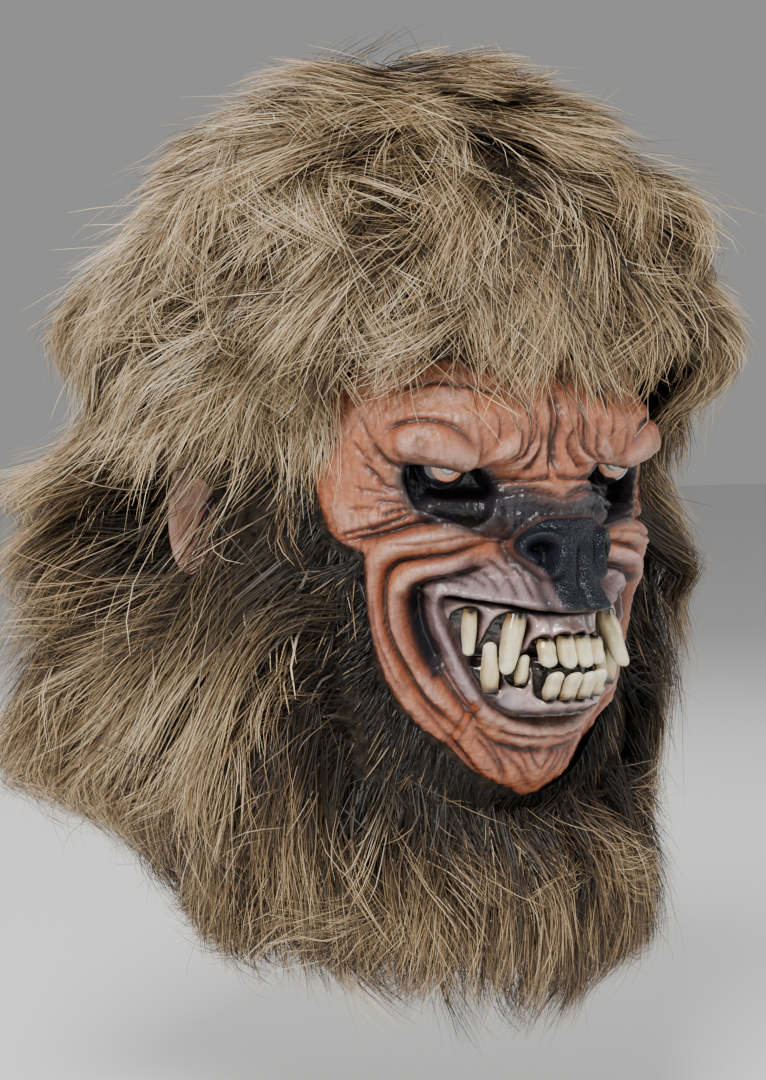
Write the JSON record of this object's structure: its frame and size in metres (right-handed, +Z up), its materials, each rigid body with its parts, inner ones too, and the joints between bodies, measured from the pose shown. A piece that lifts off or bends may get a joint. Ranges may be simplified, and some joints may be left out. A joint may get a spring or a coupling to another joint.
{
  "type": "latex halloween mask",
  "caption": "Over-the-head werewolf mask: a hollow painted latex head with a snarling toothed mouth, glossy eyes, vision slits and long fur on crown, sides, nape and beard.",
  "frame": {"origin": "centre of the neck opening, in the plane of its rim", "axes": "+Z up the neck to the crown, the face looks along -Y, +X to the wearer's left"},
  "size_m": [0.3182, 0.2933, 0.424],
  "materials": {
    "latex_skin": "satin",
    "ear_latex": "satin",
    "eye_gloss": "glossy",
    "gum_gloss": "glossy",
    "tooth_enamel": "glossy",
    "crown_pile": "long pile",
    "side_pile": "long pile",
    "nape_pile": "long pile",
    "cheek_pile": "long pile",
    "beard_pile": "long pile"
  },
  "bodies": {
    "root": {"beard_fur": "beard_pile", "crown_fur": "crown_pile", "latex_head_skin": "latex_skin", "left_cheek_fur": "cheek_pile", "left_ear": "ear_latex", "left_eye": "eye_gloss", "left_side_fur": "side_pile", "lower_gum": "gum_gloss", "lower_incisors": "tooth_enamel", "lower_small_tooth_left": "tooth_enamel", "lower_small_tooth_right": "tooth_enamel", "lower_tusk_left": "tooth_enamel", "lower_tusk_right": "tooth_enamel", "nape_fur": "nape_pile", "right_cheek_fur": "cheek_pile", "right_ear": "ear_latex", "right_eye": "eye_gloss", "right_side_fur": "side_pile", "upper_canine_left": "tooth_enamel", "upper_canine_right": "tooth_enamel", "upper_gum": "gum_gloss", "upper_incisors": "tooth_enamel", "upper_premolar_left": "tooth_enamel", "upper_premolar_right": "tooth_enamel"}
  },
  "joints": []
}
